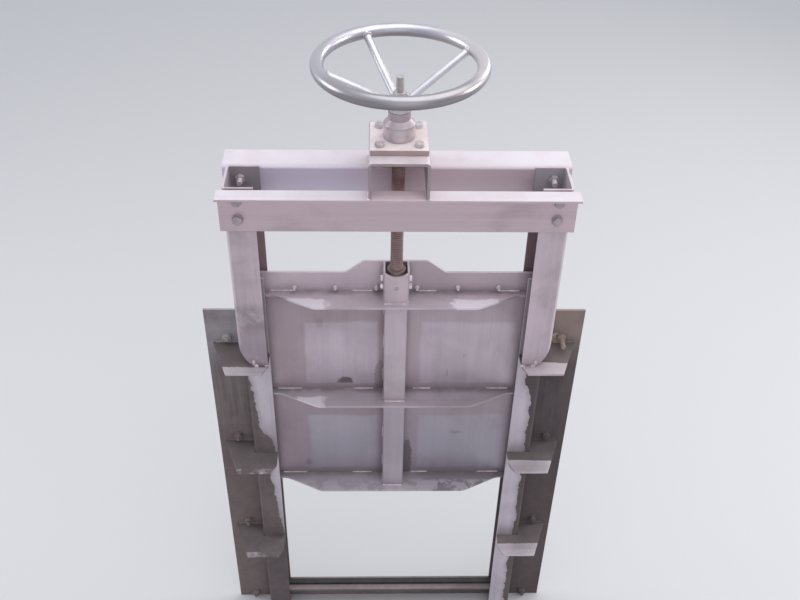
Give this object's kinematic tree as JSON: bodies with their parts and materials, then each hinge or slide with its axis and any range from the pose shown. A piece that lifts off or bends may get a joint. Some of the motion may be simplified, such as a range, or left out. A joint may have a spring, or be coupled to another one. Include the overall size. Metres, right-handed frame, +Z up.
{
  "type": "sluice gate",
  "caption": "Wall-mounted stainless sluice gate with a ribbed sliding leaf, side guides, a headstock of two folded beams and a dished handwheel on a non-rising stem.",
  "frame": {"origin": "middle of the sill plate's flat back face, on the wall", "axes": "+X to the right seen from the front, +Y into the wall, +Z up along the stem"},
  "size_m": [0.91, 0.352, 1.7895],
  "materials": {
    "frame_steel": "pickled stainless sheet, weathered and mud-stained near the foot",
    "headstock_steel": "pickled stainless sheet, bright on its upper faces",
    "lug_steel": "pickled stainless plate with dried mud",
    "leaf_steel": "pickled stainless sheet with water stains and welds",
    "wheel_steel": "polished stainless tube and bar",
    "stem_steel": "threaded stainless bar under brown grease",
    "nut_bronze": "dull tarnished bronze",
    "seal_rubber": "matt black rubber"
  },
  "bodies": {
    "frame": {"wall_plate_left": "frame_steel", "wall_plate_right": "frame_steel", "sill_plate": "frame_steel", "sill_ledge": "frame_steel", "sill_rubber": "seal_rubber", "lintel_plate": "frame_steel", "guide_left": "frame_steel", "guide_right": "frame_steel", "column_left": "frame_steel", "column_right": "frame_steel", "lug_left_lower": "lug_steel", "lug_left_middle": "lug_steel", "lug_left_upper": "lug_steel", "lug_right_lower": "lug_steel", "lug_right_middle": "lug_steel", "lug_right_upper": "lug_steel", "headstock_front_beam": "headstock_steel", "headstock_rear_beam": "headstock_steel", "stem_bridge": "headstock_steel", "bearing_plate": "headstock_steel", "bearing_housing": "headstock_steel"},
    "leaf": {"leaf_plate": "leaf_steel", "rib_lower": "leaf_steel", "rib_middle": "leaf_steel", "rib_upper": "leaf_steel", "spine_lower": "leaf_steel", "spine_upper": "leaf_steel", "nut_pocket": "leaf_steel", "stem_nut": "nut_bronze", "top_seal": "seal_rubber", "side_seal_left": "seal_rubber", "side_seal_right": "seal_rubber"},
    "handwheel": {"stem": "stem_steel", "thrust_collar": "wheel_steel", "wheel_hub": "wheel_steel", "wheel_spokes": "wheel_steel", "wheel_rim": "wheel_steel", "wheel_nut": "wheel_steel"}
  },
  "joints": [
    {"name": "wheel_turn", "type": "hinge", "parent": "frame", "child": "handwheel", "pos_m": [0, -0.046, 1.6], "axis": [0, 0, 1], "range_deg": [-28139, 7079]},
    {"name": "leaf_lift", "type": "slide", "parent": "frame", "child": "leaf", "axis": [0, 0, 1], "range_m": [-0.469, 0.118]}
  ],
  "couplings": [
    {"joint": "leaf_lift", "follows": "wheel_turn", "m_per_rad": 0.00095493}
  ]
}
